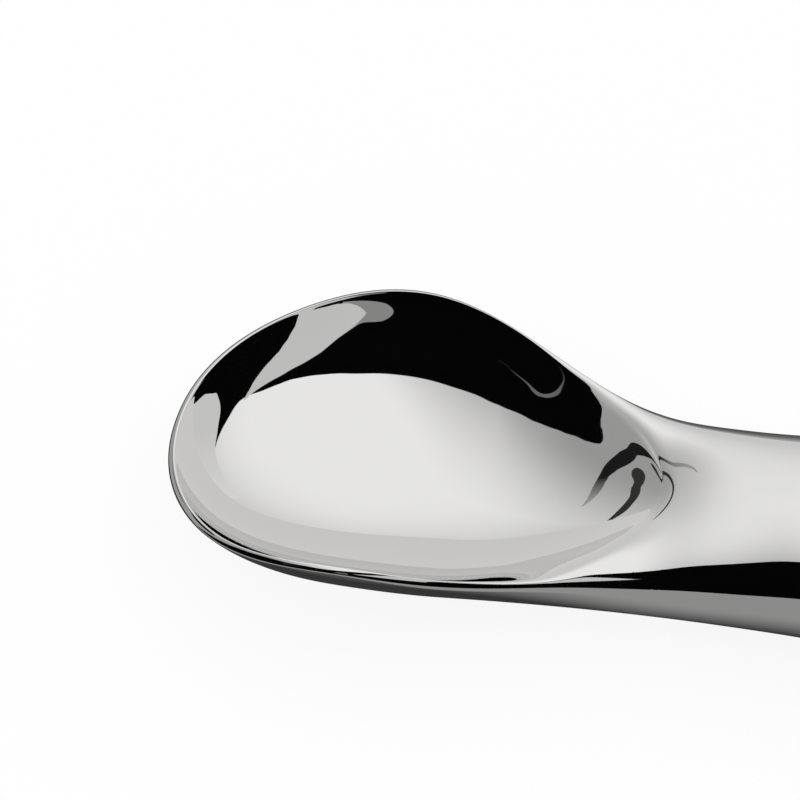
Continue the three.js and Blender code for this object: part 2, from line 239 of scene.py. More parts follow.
def ease(s, start, end):
    """0 before one place and 1 beyond another, with a soft start and end."""
    part = np.clip((s - start) / (end - start), 0, 1)
    return part ** 2 * (3 - 2 * part)


def bulge(radius, squareness):
    """Height of a full round section at a radius from 0 to 1."""
    return np.maximum(1 - radius ** squareness, 0) ** (1 / squareness)


def in_millimetres(group):
    """The lengths of a property group, in millimetres."""
    return SimpleNamespace(
        **{name: getattr(group, name) / MM for name in group.__annotations__}
    )


class SpadeForm:
    """The surfaces of the spade, in millimetres from the tip, the middle line and the table."""

    arc_limit = 0.98

    def __init__(self, sizes, curves):
        self.d = d = in_millimetres(sizes)
        self.c = c = curves
        self.butt_start = d.overall_length - d.butt_length
        self.neck_start = (d.tip_to_crease + d.tip_to_neck) / 2

        def on_front(part):
            return part * d.tip_to_widest

        def on_flank(part):
            return between(d.tip_to_widest, d.tip_to_neck, part)

        def on_neck(part):
            return between(d.tip_to_neck, d.tip_to_joint, part)

        def waist(part):
            return between(d.neck_half_width, d.bowl_half_width, part)

        def flank_height(part):
            return between(d.waist_height, d.rim_height, part)

        def rise(part):
            return between(d.lip_rise, d.neck_rise, part)

        self.half_width = smooth_curve([
            (d.tip_to_widest, d.bowl_half_width),
            (on_flank(0.266), waist(0.846)),
            (on_flank(0.482), waist(0.523)),
            (on_flank(0.654), waist(0.246)),
            (on_flank(0.827), waist(0.07)),
            (d.tip_to_neck, d.neck_half_width),
            (d.tip_to_joint, d.joint_half_width),
            (d.tip_to_grip, d.grip_half_width),
            (self.butt_start, d.butt_half_width),
        ], 0)
        self.side_height = smooth_curve([
            (0, d.tip_height),
            (on_front(0.36), between(d.tip_height, d.rim_height, 0.305)),
            (on_front(0.72), between(d.tip_height, d.rim_height, 0.76)),
            (on_flank(0.05), d.rim_height),
            (on_flank(0.31), flank_height(0.691)),
            (on_flank(0.57), flank_height(0.283)),
            (on_flank(0.827), d.waist_height),
            (on_neck(0.3), between(d.waist_height, d.parting_height, 0.053)),
            (d.tip_to_joint, d.parting_height),
        ], None, 0)
        self.crown_rise = smooth_curve([
            (on_front(0.8), d.lip_rise),
            (on_flank(0.08), rise(0.098)),
            (on_flank(0.31), rise(0.254)),
            (on_flank(0.482), rise(0.249)),
            (on_flank(0.654), rise(0.387)),
            (on_flank(0.827), rise(0.666)),
            (d.tip_to_neck, d.neck_rise),
            (on_neck(0.45), between(d.neck_rise, d.joint_rise, 0.544)),
            (d.tip_to_joint, d.joint_rise),
            (d.tip_to_grip, d.grip_rise),
            (self.butt_start, d.butt_rise),
        ], 0)
        self.keel_height = smooth_curve([
            (d.tip_to_widest, -d.bowl_flat_depth),
            (on_flank(0.45), d.arch_height / 2),
            (d.tip_to_neck, d.arch_height),
            (d.tip_to_joint, d.arch_height),
            (d.tip_to_grip, -d.grip_flat_depth),
            (self.butt_start, d.butt_lift),
        ], 0)
        self.under_squareness = smooth_curve([
            (d.tip_to_widest, c.bowl_squareness),
            (on_flank(0.4), c.bowl_squareness),
            (on_flank(0.654), c.waist_squareness),
            (on_flank(0.92), c.handle_squareness),
            (d.tip_to_joint, c.handle_squareness),
        ], 0, 0)
        self.lean_start = self.lift_start = on_flank(0.3)
        self.lean_end = on_flank(0.95)
        self.hollow_half_width = d.bowl_half_width - d.lip_width
        front = d.tip_to_widest - d.lip_width
        rear = d.tip_to_crease - d.tip_to_widest + d.lip_width
        self.hollow_bend = (1 / rear - 1 / front) / (rear + front)
        self.hollow_slope = 1 / front + self.hollow_bend * front
        self.apron_reach = self.spread(d.tip_to_joint, 0) - 1

    def plan_radius(self, s, y):
        """0 on the middle line and 1 on the outline seen from above."""
        forward = np.maximum(self.d.tip_to_widest - s, 0) / self.d.tip_to_widest
        aside = np.abs(y) / self.d.bowl_half_width
        q = self.c.tip_squareness
        front = (forward ** q + aside ** q) ** (1 / q)
        behind = np.abs(y) / self.half_width(s)
        return np.minimum(np.where(s < self.d.tip_to_widest, front, behind), 1)

    def spread(self, s, y):
        """0 at the deepest place of the hollow and 1 where it ends, further off behind than before."""
        behind = s - self.d.tip_to_widest
        along = self.hollow_slope * behind + self.hollow_bend * behind ** 2
        return np.hypot(along, y / self.hollow_half_width)

    def crown(self, s, y):
        """The lip and the handle top, which rolls down to the end of the hollow."""
        radius = self.plan_radius(s, y)
        past = np.clip((self.spread(s, y) - 1) / self.apron_reach, 0, 1)
        apron = self.d.apron_depth * (1 - past) ** 2 * (1 - radius ** 3) ** 2
        dome = self.crown_rise(s) * bulge(radius, self.c.crown_squareness)
        return self.side_height(s) + dome - apron

    def dish(self, square):
        """Height of a round dish at a squared radius, running on straight beyond its rim."""
        arc_square = self.c.hollow_arc ** 2
        arc = np.minimum(arc_square * square, self.arc_limit)
        run = (arc_square * square - arc) / (2 * math.sqrt(1 - self.arc_limit))
        return (1 - np.sqrt(1 - arc) + run) / (1 - math.sqrt(1 - arc_square))

    def hollow(self, s, y):
        """The hollow of the bowl, lifted towards the crease."""
        lift = self.d.crease_lift * ease(s, self.lift_start, self.d.tip_to_crease)
        depth = self.side_height(s) + self.d.edge_overlap + lift - self.d.floor_height
        return self.d.floor_height + depth * self.dish(self.spread(s, y) ** 2)

    def top(self, s, y):
        """The lower of crown and hollow, with the edge between them rounded over."""
        high = self.crown(s, y)
        low = self.hollow(s, y)
        angle = np.abs(np.arctan2(y, s - self.d.tip_to_widest))
        shoulder = (angle - self.c.shoulder_angle) / self.c.shoulder_spread
        inside = 1 - self.plan_radius(s, y) ** self.c.rim_sharpness
        rounding = self.d.edge_round + self.d.shoulder_round * np.exp(-shoulder ** 2) * inside
        closeness = np.maximum(1 - np.abs(high - low) / rounding, 0)
        seen = np.minimum(high, low) - rounding * closeness ** 3 / 6
        on_outline = self.plan_radius(s, y) > 1 - ROUNDING
        return np.where(on_outline, self.side_height(s), seen)

    def underside(self, s, y):
        """The outside of the bowl and the lower half of the neck."""
        squareness = self.under_squareness(s)
        lean = 1 - ease(s, self.lean_start, self.lean_end)
        at_rim = bulge(self.c.wall_lean, squareness) * lean
        upright = bulge(at_rim, squareness)
        depth = (bulge(upright * self.plan_radius(s, y), squareness) - at_rim) / (1 - at_rim)
        low = np.maximum(between(self.side_height(s), self.keel_height(s), depth), 0)
        on_outline = self.plan_radius(s, y) > 1 - ROUNDING
        return np.where(on_outline, self.side_height(s), low)

    def handle_half(self, s, part, inset, lower):
        """Places across one half of the handle, set in from the outside by an even depth."""
        end = self.d.overall_length - inset
        reach = np.clip((s - self.butt_start) / (end - self.butt_start), 0, 1)
        scale = np.sqrt(1 - reach ** 2)
        y = part * scale * (self.half_width(s) - inset)
        parting = self.d.parting_height
        if lower:
            drop = parting - self.keel_height(s) - inset
            low = parting - drop * scale * bulge(np.abs(part), self.under_squareness(s))
            return y, np.maximum(low, inset)
        rise = self.crown_rise(s) - inset
        return y, parting + rise * scale * bulge(np.abs(part), self.c.crown_squareness)


# Modelling helpers

SECTION_STEPS = 120
FLANK_STEPS = 110
TIP_STEPS = 90
HOLLOW_RINGS = 84
LIP_RINGS = 26
HULL_RINGS = 44
NECK_ROWS = 70
TANG_ROWS = 3
GRIP_ROWS = 60
BUTT_ROWS = 30
DISC_SIDES = 96
RING_CROWDING = 1.7
EDGE_PROBE = 0.0025
TANG_SQUARENESS = 10
DRILL_WALLS = 4
PLUG_EDGE_ROUND = 0.08
PLUG_EDGE_STEPS = 3
SHARP_ANGLE = math.radians(32)
MERGE_DISTANCE = 2e-7


def section_share(column):
    """Even turns round half a section, from -1 to 1 across it."""
    return -np.cos(math.pi * column / SECTION_STEPS)


def select_only(*pieces):
    """Select these objects and nothing else, the first one active."""
    bpy.ops.object.select_all(action="DESELECT")
    for piece in pieces:
        piece.select_set(True)
    bpy.context.view_layer.objects.active = pieces[0]


def add_grid(columns, rows):
    """Add a grid, and give it with its corners' places across and up, from -1 to 1."""
    bpy.ops.object.select_all(action="DESELECT")
    bpy.ops.mesh.primitive_grid_add(x_subdivisions=columns, y_subdivisions=rows, size=2)
    grid = bpy.context.object
    corners = grid.data.vertices
    if len(corners) != (columns + 1) * (rows + 1):
        raise RuntimeError("the grid does not have the corners that were asked for")
    flat = np.empty(3 * len(corners))
    corners.foreach_get("co", flat)
    across, up = flat.reshape(-1, 3)[:, :2].T
    return grid, across, up


def place_corners(grid, x, y, z):
    """Move a grid's corners to new places, in metres."""
    places = np.column_stack([x, y, z])
    grid.data.vertices.foreach_set("co", places.ravel())
    grid.data.update()


def lay_grid(columns, rows, surface, overall_length):
    """Add a grid and lay its corners on a surface given by column and row."""
    sheet, across, up = add_grid(columns, rows)
    column = np.rint((across + 1) / 2 * columns).astype(int)
    row = np.rint((up + 1) / 2 * rows).astype(int)
    s, y, z = surface(column, row)
    place_corners(sheet, (s - overall_length / 2) * MM, y * MM, z * MM)
    return sheet


def weld(name, sheets):
    """Join sheets into one closed skin with its faces outwards."""
    select_only(*sheets)
    bpy.ops.object.join()
    skin = bpy.context.object
    skin.name = name
    skin.data.name = name
    bpy.ops.object.mode_set(mode="EDIT")
    bpy.ops.mesh.select_all(action="SELECT")
    bpy.ops.mesh.remove_doubles(threshold=MERGE_DISTANCE)
    bpy.ops.mesh.dissolve_degenerate(threshold=MERGE_DISTANCE)
    bpy.ops.mesh.select_all(action="SELECT")
    bpy.ops.mesh.normals_make_consistent(inside=False)
    bpy.ops.object.mode_set(mode="OBJECT")
    bpy.ops.object.shade_smooth_by_angle(angle=SHARP_ANGLE)
    return skin


def add_disc(d, radius, depth, height):
    """Add a round disc in line with the filling hole, with its middle at a height above the table."""
    bpy.ops.object.select_all(action="DESELECT")
    bpy.ops.mesh.primitive_cylinder_add(
        vertices=DISC_SIDES, radius=radius * MM, depth=depth * MM,
        location=((d.tip_to_plug - d.overall_length / 2) * MM, 0, height * MM),
    )
    return bpy.context.object


def finish_piece(piece, material, *nodes):
    """Give a piece its material and its body, and hide the solids that it stands for."""
    piece.data.materials.clear()
    piece.data.materials.append(material)
    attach(piece, BODY)
    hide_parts(*nodes)


# Shader helpers

class Wire:
    """An output socket that can be used in sums."""

    def __init__(self, tree, socket):
        self.tree = tree
        self.socket = socket

    def __add__(self, other):
        return self.tree.sum("ADD", self, other)

    def __mul__(self, other):
        return self.tree.sum("MULTIPLY", self, other)

    def __sub__(self, other):
        return self.tree.sum("SUBTRACT", self, other)

    def __rsub__(self, other):
        return self.tree.sum("SUBTRACT", other, self)

    __radd__ = __add__
    __rmul__ = __mul__


class ShaderTree:
    """The emptied node tree of a material or a world."""

    def __init__(self, owner):
        owner.use_nodes = True
        self.tree = owner.node_tree
        self.tree.nodes.clear()

    def node(self, kind, settings=None, inputs=None, out=0):
        """Add a node, with its settings first and then its sockets, and give one output."""
        node = self.tree.nodes.new(kind)
        for name, value in (settings or {}).items():
            setattr(node, name, value)
        for name, value in (inputs or {}).items():
            if isinstance(value, Wire):
                self.tree.links.new(value.socket, node.inputs[name])
            else:
                node.inputs[name].default_value = value
        return Wire(self, node.outputs[out]) if node.outputs else None

    def sum(self, operation, first, second):
        """A Math node on two values."""
        return self.node("ShaderNodeMath", {"operation": operation}, {0: first, 1: second})

    def place(self, kind="Object"):
        """Coordinates of the place that is shaded."""
        return self.node("ShaderNodeTexCoord", out=kind)

    def axis(self, where, letter):
        """The X, Y or Z of a place."""
        return self.node("ShaderNodeSeparateXYZ", inputs={0: where}, out=letter)

    def noise(self, where, scale, detail):
        """A soft random value."""
        return self.node("ShaderNodeTexNoise", inputs={"Vector": where, "Scale": scale, "Detail": detail})

    def blend(self, part, first, second):
        """A colour part of the way from one to another, by numbered sockets as several share a name."""
        sockets = {0: part, 6: (*first, 1), 7: (*second, 1)}
        return self.node("ShaderNodeMix", {"data_type": "RGBA"}, sockets, out=2)

    def ramp(self, value, reach, shades, kind="SMOOTHSTEP"):
        """One shade before a reach of values and another one beyond it."""
        return self.node("ShaderNodeMapRange", {"interpolation_type": kind}, {
            "Value": value,
            "From Min": reach[0],
            "From Max": reach[1],
            "To Min": shades[0],
            "To Max": shades[1],
        })

    def end(self, shader):
        """Make a shader the surface of the material."""
        self.node("ShaderNodeOutputMaterial", inputs={"Surface": shader})


# Finishes, with noise scales per metre

HAZE_SCALE = 55.0
HAZE_DETAIL = 3.0
HAZE_SHARE = 0.6
WIPE_SCALE = (60.0, 900.0, 900.0)
WIPE_DETAIL = 2.0
NOISE_MIDDLE = 0.5
GRIT_SCALE = 900.0
GRIT_DETAIL = 4.0
GRIT_SHARE = 0.6
GRIT_STRENGTH = 0.3
GRIT_HEIGHT = 0.0002
CLOUD_SCALE = 90.0
CLOUD_DETAIL = 3.0
CEMENT_ROUGHNESS = 0.85
CEMENT_SPREAD = 0.1


def polished_steel(finish):
    """Mirror polish with a faint haze that comes and goes over the surface."""
    material = bpy.data.materials.new(STEEL_FINISH)
    tree = ShaderTree(material)
    where = tree.place()
    haze = tree.noise(where, HAZE_SCALE, HAZE_DETAIL)
    wipe = tree.node("ShaderNodeMapping", inputs={"Vector": where, "Scale": WIPE_SCALE})
    grain = tree.noise(wipe, 1.0, WIPE_DETAIL)
    unevenness = haze * HAZE_SHARE + grain * (1 - HAZE_SHARE) - NOISE_MIDDLE
    shader = tree.node("ShaderNodeBsdfPrincipled", inputs={
        "Base Color": tree.blend(haze, finish.steel_colour, finish.haze_colour),
        "Metallic": 1.0,
        "Roughness": finish.polish_roughness + finish.polish_spread * unevenness,
    })
    tree.end(shader)
    return material


def set_cement(finish):
    """Grey set cement with small grains."""
    material = bpy.data.materials.new(FILLING_FINISH)
    tree = ShaderTree(material)
    where = tree.place()
    grit = tree.noise(where, GRIT_SCALE, GRIT_DETAIL)
    cloud = tree.noise(where, CLOUD_SCALE, CLOUD_DETAIL)
    darkness = grit * GRIT_SHARE + cloud * (1 - GRIT_SHARE)
    bump = tree.node("ShaderNodeBump", inputs={
        "Height": grit, "Strength": GRIT_STRENGTH, "Distance": GRIT_HEIGHT,
    })
    shader = tree.node("ShaderNodeBsdfPrincipled", inputs={
        "Base Color": tree.blend(darkness, finish.filling_colour, finish.grit_colour),
        "Roughness": CEMENT_ROUGHNESS + grit * CEMENT_SPREAD,
        "Normal": bump,
    })
    tree.end(shader)
    return material


def material_once(name, make, finish):
    """The material of this name, made the first time it is asked for."""
    return bpy.data.materials.get(name) or make(finish)


# Pieces

class SpadeOperator(bpy.types.Operator):
    """What the operators share: the form of the spade and its steel."""

    bl_options = {"REGISTER", "UNDO"}

    def form(self, context):
        return SpadeForm(context.scene.spade_sizes, context.scene.spade_curves)

    def steel(self, context):
        return material_once(STEEL_FINISH, polished_steel, context.scene.spade_finish)


def bowl_boundary(form):
    """Ends of the spokes of the bowl, round its outline and across the neck."""
    d = form.d
    neck = section_share(np.arange(SECTION_STEPS + 1)) * form.half_width(form.neck_start)
    neck_line = np.column_stack([np.full(len(neck), form.neck_start), neck])
    flank_s = np.linspace(form.neck_start, d.tip_to_widest, FLANK_STEPS + 1)[1:]
    flank = np.column_stack([flank_s, form.half_width(flank_s)])
    turn = math.pi / 2 * (1 - np.arange(1, TIP_STEPS + 1) / TIP_STEPS)
    power = 2 / form.c.tip_squareness
    tip = np.column_stack([
        d.tip_to_widest * (1 - np.cos(turn) ** power),
        d.bowl_half_width * np.maximum(np.sin(turn), 0) ** power,
    ])
    tip[-1] = 0, 0
    side = np.vstack([flank, tip])
    mirrored = side[-2::-1] * (1, -1)
    return np.vstack([neck_line, side, mirrored, neck_line[:1]])


def on_spoke(form, ends, part):
    """Places on spokes from the deepest place of the bowl to their ends."""
    s = between(form.d.tip_to_widest, ends[:, 0], part)
    return s, ends[:, 1] * part


def edge_parts(form, ends):
    """Part of each spoke at which the hollow reaches the crown."""
    def depth(part):
        s, y = on_spoke(form, ends, part)
        return form.crown(s, y) - form.hollow(s, y)

    inside = np.zeros(len(ends))
    going = np.ones(len(ends), dtype=bool)
    while going.any():
        ahead = np.minimum(inside + EDGE_PROBE, 1)
        going &= (depth(ahead) > 0) & (ahead < 1)
        inside = np.where(going, ahead, inside)
    outside = np.minimum(inside + EDGE_PROBE, 1)
    while (outside - inside).max() > ROUNDING:
        middle = (inside + outside) / 2
        deep = depth(middle) > 0
        inside = np.where(deep, middle, inside)
        outside = np.where(deep, outside, middle)
    return inside


class SPADE_OT_head(SpadeOperator):
    """Model the bowl, the neck and the tang as one closed skin"""

    bl_idname = "spade.head"
    bl_label = "Spade head"

    def execute(self, context):
        form = self.form(context)
        d = form.d
        ends = bowl_boundary(form)
        spokes = len(ends) - 1
        edge = edge_parts(form, ends)

        def bowl_top(column, row):
            inner = np.clip(row / HOLLOW_RINGS, 0, 1)
            outer = np.clip((row - HOLLOW_RINGS) / LIP_RINGS, 0, 1)
            inner = 1 - (1 - inner) ** RING_CROWDING
            outer = (1 - np.cos(math.pi * outer)) / 2
            part = edge[column] * inner + (1 - edge[column]) * outer
            s, y = on_spoke(form, ends[column], part)
            return s, y, form.top(s, y)

        def bowl_underside(column, row):
            s, y = on_spoke(form, ends[column], np.sin(math.pi / 2 * row / HULL_RINGS))
            return s, y, form.underside(s, y)

        def neck_place(column, row):
            s = between(form.neck_start, d.tip_to_joint, row / NECK_ROWS)
            return s, section_share(column) * form.half_width(s)

        def neck_top(column, row):
            s, y = neck_place(column, row)
            return s, y, form.top(s, y)

        def neck_underside(column, row):
            s, y = neck_place(column, row)
            return s, y, form.underside(s, y)

        def tang(column, row):
            above = column <= SECTION_STEPS
            across = np.where(above, column, 2 * SECTION_STEPS - column)
            s = np.full(len(column), d.tip_to_joint)
            y = section_share(across) * form.half_width(s)
            z = np.where(above, form.top(s, y), form.underside(s, y))
            angle = np.arctan2(z - d.parting_height, y)
            wide = np.abs(np.cos(angle)) / (d.tang_width / 2)
            thick = np.abs(np.sin(angle)) / (d.tang_thickness / 2)
            q = TANG_SQUARENESS
            radius = (wide ** q + thick ** q) ** (-1 / q)
            radius = np.where(row == TANG_ROWS, 0, radius)
            on_tang = row > 0
            y = np.where(on_tang, radius * np.cos(angle), y)
            z = np.where(on_tang, d.parting_height + radius * np.sin(angle), z)
            s = np.where(row > 1, d.tip_to_joint + d.tang_length, s)
            return s, y, z

        patches = [
            (spokes, HOLLOW_RINGS + LIP_RINGS, bowl_top),
            (spokes, HULL_RINGS, bowl_underside),
            (SECTION_STEPS, NECK_ROWS, neck_top),
            (SECTION_STEPS, NECK_ROWS, neck_underside),
            (2 * SECTION_STEPS, TANG_ROWS, tang),
        ]
        sheets = [lay_grid(*patch, d.overall_length) for patch in patches]
        head = weld("spade_head_skin", sheets)
        finish_piece(head, self.steel(context), "spade_head")
        return {"FINISHED"}


class SPADE_OT_handle_shells(SpadeOperator):
    """Model the two half shells of the handle"""

    bl_idname = "spade.handle_shells"
    bl_label = "Handle shells"

    def execute(self, context):
        form = self.form(context)
        for name, lower in (("handle_upper_shell", False), ("handle_lower_shell", True)):
            shell = self.shell(form, name + "_skin", lower)
            if lower:
                self.drill_filling_hole(form, shell)
            finish_piece(shell, self.steel(context), name)
        return {"FINISHED"}

    def shell(self, form, name, lower):
        """One half shell with an even wall, open at the joint."""
        d = form.d
        rows = GRIP_ROWS + BUTT_ROWS

        def along(row, inset):
            grip = np.clip(row / GRIP_ROWS, 0, 1)
            butt = np.sin(math.pi / 2 * np.clip((row - GRIP_ROWS) / BUTT_ROWS, 0, 1))
            length_of_butt = d.overall_length - inset - form.butt_start
            return between(d.tip_to_joint, form.butt_start, grip) + length_of_butt * butt

        def place(column, row, inset):
            s = along(row, inset)
            y, z = form.handle_half(s, section_share(column), inset, lower)
            return s, y, z

        def outside(column, row):
            return place(column, row, 0)

        def inside(column, row):
            return place(column, row, d.shell_wall)

        def edge(side):
            def strip(column, row):
                return place(np.full(len(row), side), row, column * d.shell_wall)
            return strip

        def joint(column, row):
            return place(column, np.zeros(len(row)), row * d.shell_wall)

        patches = [
            (SECTION_STEPS, rows, outside),
            (SECTION_STEPS, rows, inside),
            (1, rows, edge(0)),
            (1, rows, edge(SECTION_STEPS)),
            (SECTION_STEPS, 1, joint),
        ]
        return weld(name, [lay_grid(*patch, d.overall_length) for patch in patches])

    def drill_filling_hole(self, form, shell):
        """Cut the hole that the filling goes in by."""
        d = form.d
        drill = add_disc(d, d.plug_diameter / 2, DRILL_WALLS * d.shell_wall, 0)
        select_only(shell)
        hole = shell.modifiers.new("filling_hole", "BOOLEAN")
        hole.operation = "DIFFERENCE"
        hole.object = drill
        bpy.ops.object.modifier_apply(modifier=hole.name)
        bpy.data.objects.remove(drill)


class SPADE_OT_filler_plug(SpadeOperator):
    """Model the disc that closes the filling hole"""

    bl_idname = "spade.filler_plug"
    bl_label = "Filler plug"

    def execute(self, context):
        form = self.form(context)
        d = form.d
        radius = d.plug_diameter / 2 - d.plug_seam
        low = float(form.keel_height(d.tip_to_plug))
        plug = add_disc(d, radius, d.shell_wall, low + d.shell_wall / 2)
        plug.name = "filler_plug_disc"
        bpy.ops.object.transform_apply(location=True, rotation=True, scale=True)
        bevel = plug.modifiers.new("edge", "BEVEL")
        bevel.width = PLUG_EDGE_ROUND * MM
        bevel.segments = PLUG_EDGE_STEPS
        bpy.ops.object.modifier_apply(modifier=bevel.name)
        bpy.ops.object.shade_smooth_by_angle(angle=SHARP_ANGLE)
        finish_piece(plug, self.steel(context), "filler_plug")
        return {"FINISHED"}


class SPADE_OT_handle_core(SpadeOperator):
    """Give the filling of the handle its finish"""

    bl_idname = "spade.handle_core"
    bl_label = "Handle filling"

    def execute(self, context):
        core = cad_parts["handle_core"]
        cement = material_once(FILLING_FINISH, set_cement, context.scene.spade_finish)
        core.data.materials.clear()
        core.data.materials.append(cement)
        return {"FINISHED"}


# Studio

# Lengths are metres, card outlines are (azimuth, elevation) places in degrees, and a glow of 1 is white.
# The cards give no light and only the steel shows them, so their black and their glow are painted
# reflections.
FLOOR_RADIUS = 6
FLOOR_WHITENESS = 0.9
LENS_REACH = (0.01, 20)
DOME_CENTRE = np.array([-0.06, 0, 0.01])
DOME_RADIUS = 3.0
MIDDLE_DISTANCE = 2.95
NEAR_DISTANCE = 2.9
CARD_COLUMNS = 480
CARD_ROWS = 16
CORNER_STEPS = np.linspace(-1, 1, 9)
SQUARE_END = 0.01
# BLACK is the black cards' painted dark reflection.
BLACK = 0.0016
# DEEPER_SHADE is the painted even grey that reflections of reflections show in place of what they would
# mirror.
DEEPER_SHADE = 0.9
DEPTH_OF_FIRST_MIRROR = 1.5

BLACK_FLAG_TOP = [
    (-89.1, 35.2), (-88.9, 35.9), (-88.5, 36.6), (-88, 37.8), (-87.4, 39.1), (-86.2, 41.3),
    (-83.2, 43.9), (-77.7, 46.4), (-71, 47.9), (-61, 49.6), (-50, 51.6), (-45, 51.2), (-39, 49.7),
    (-31, 48.2), (-24, 47.5), (-17, 49.4), (-9.6, 52.3), (0, 56), (14, 59), (25, 60.5), (40, 61),
    (51, 60.6), (61, 59.4), (72, 57.7), (82, 54.9), (91, 51), (98, 46.3), (104, 42.6), (117, 37.6),
    (129, 31.4), (139, 25.5),
]
BLACK_FLAG_FOOT = [
    (-89.1, 34.8), (-88.8, 34.1), (-88.5, 33.8), (-88.1, 33.7), (-87.6, 33), (-86, 30), (-82, -10),
    (139, -10),
]
FRONT_PANEL_TOP = [
    (-1.7, 21.5), (2.7, 29), (9.5, 37.3), (14, 41.7), (21, 47.1), (29, 50.8), (38, 53.4), (53, 54.9),
    (63, 55), (73, 53.7), (83, 51.5), (93, 48.4), (103, 44.8),
]
FRONT_PANEL_FOOT = [
    (-1.7, 16), (0, 14.8), (5, 13), (9.5, 13.5), (15, 15.6), (21, 16.8), (31.5, 18), (35, 27.4),
    (43, 35.8), (53, 41.2), (63, 43.4), (78, 44.8), (93, 45.2), (103, 44.3),
]
FRONT_PANEL_GLOW = 0.64
PANEL_END_TOP = [(-9.3, 19.6), (-5.2, 22.9), (0, 26), (2.7, 29.5), (7.6, 35.4)]
PANEL_END_FOOT = [(-9.3, 10.2), (-4.2, 9.9), (0, 10.5), (7.6, 12.2)]
PANEL_END_GLOW = 0.29
SIDE_PANEL_TOP = [
    (107, 26.5), (113.7, 30.5), (122.7, 30.7), (130, 29.2), (139, 25.8), (153, 23), (163, 20),
]
SIDE_PANEL_FOOT = [
    (107, 22.5), (109, 19.5), (111, 15.2), (115, 11.7), (118, 9.2), (121, 5.2), (125, -5), (163, -5),
]
SIDE_PANEL_REACH = (0.7, 2.0)
SIDE_PANEL_GLOW = (0.83, 0.68)
FAINT_ARC_TOP = [
    (-54.2, 37.8), (-50.7, 37.6), (-47.7, 36.6), (-44.6, 35.4), (-39.5, 34.1), (-33.5, 32.2), (-28, 29),
]
FAINT_ARC_FOOT = [
    (-54.2, 35.8), (-50.7, 35.9), (-47.7, 35.4), (-44.6, 34.4), (-39.5, 33.4), (-33.5, 31.7),
    (-28, 28.6),
]
FAINT_ARC_REACH = (-1.85, -1.4)
FAINT_ARC_GLOW = (0.16, 0.015)
UPPER_STRIP_TOP = [
    (-132.5, 26.7), (-126.5, 30), (-122, 32), (-117, 33.5), (-112, 34.3), (-107, 34.6), (-102, 34),
    (-98, 32.6), (-92.8, 30),
]
UPPER_STRIP_FOOT = [
    (-132.5, 26.5), (-126.5, 28.5), (-122, 30), (-117, 31.5), (-112, 32.2), (-107, 31.2), (-102, 28.4),
    (-98, 26.9), (-92.8, 28),
]
UPPER_STRIP_REACH = (1.0, 1.65)
UPPER_STRIP_GLOW = (0.012, 0.36)
LOWER_STRIP_TOP = [
    (-142, 9.5), (-137, 14.1), (-132, 17.7), (-127, 20.6), (-121, 23.9), (-117, 25.1), (-112, 27.2),
    (-106, 28),
]
LOWER_STRIP_FOOT = [
    (-142, 8.9), (-137, 11.9), (-132, 15.6), (-127, 18.4), (-121, 21.7), (-117, 22.5), (-112, 23.8),
    (-106, 26),
]
LOWER_STRIP_GLOW = 0.035

CARD_LIFT = 0.0004
TABLE_EDGE = -0.06
BLACK_TABLE = (-2.5, -2.8, CARD_LIFT), (2.5, TABLE_EDGE, CARD_LIFT)
NEAR_FLAG = (-0.07, -0.062, 0), (0.14, -0.062, 0.036)
PAINTED_SHADOW_BOARD = (-0.8, TABLE_EDGE, CARD_LIFT), (0.8, 1.5, CARD_LIFT)
# The board's painted shadow of the spade: dark along the spade's outline in front and behind, lighter
# away from it. BOARD_DEEPER_SHADE is the board's painted even shade in reflections of reflections.
BOARD_BOWL_TO_NECK = (-0.065, -0.03)
BOARD_HALF_WIDTH = (0.0258, 0.0145)
BOARD_FRONT_REACH = (-0.008, 0.010)
BOARD_FRONT_GLOW = (0.0, 0.33)
BOARD_BACK_REACH = (0.0, 0.2)
BOARD_BACK_GLOW = (0.04, 0.42)
BOARD_DEEPER_SHADE = 0.6

# Painted darkening of the world in the steel's reflections only: dimmer to the left and low down.
LEFT_Y_SHARE = 0.35
LEFT_Z_SHARE = 0.3
LEFT_REACH = (-0.6, 0.0)
LEFT_DIMMING = (0.62, 0.0)
LOW_REACH = (0.1, 0.8)
LOW_DIMMING = (0.3, 0.0)


def in_first_mirror(tree, first, later=DEEPER_SHADE):
    """One shade in the first mirror that a ray meets, and another one in those after it: reflections of
    reflections get a painted even shade in place of what they would mirror.
    """
    depth = tree.node("ShaderNodeLightPath", out="Glossy Depth")
    again = tree.sum("GREATER_THAN", depth, DEPTH_OF_FIRST_MIRROR)
    return first + again * (later - first)


def glow(name, strength):
    """A card with an even glow, a painted reflection that gives no light."""
    material = bpy.data.materials.new(name)
    tree = ShaderTree(material)
    tree.end(tree.node("ShaderNodeEmission", inputs={"Color": in_first_mirror(tree, strength)}))
    return material


def fading_glow(name, letter, reach, shades):
    """A card whose glow changes along an axis, from one shade to another over a reach: a painted
    reflection that fades and gives no light.
    """
    material = bpy.data.materials.new(name)
    tree = ShaderTree(material)
    shade = tree.ramp(tree.axis(tree.place(), letter), reach, shades, "LINEAR")
    tree.end(tree.node("ShaderNodeEmission", inputs={"Color": in_first_mirror(tree, shade)}))
    return material


def board_with_painted_shadow(name):
    """A grey board seen only in the steel, a painted reflection of the floor with the spade's shadow
    painted on it: dark close to the spade and lighter away from it.
    """
    material = bpy.data.materials.new(name)
    tree = ShaderTree(material)
    where = tree.place()
    y = tree.axis(where, "Y")
    side = tree.ramp(tree.axis(where, "X"), BOARD_BOWL_TO_NECK, BOARD_HALF_WIDTH)
    front = tree.ramp(0 - (y + side), BOARD_FRONT_REACH, BOARD_FRONT_GLOW)
    back = tree.ramp(y - side, BOARD_BACK_REACH, BOARD_BACK_GLOW, "LINEAR")
    shade = in_first_mirror(tree, tree.sum("MAXIMUM", front, back), BOARD_DEEPER_SHADE)
    tree.end(tree.node("ShaderNodeEmission", inputs={"Color": shade}))
    return material


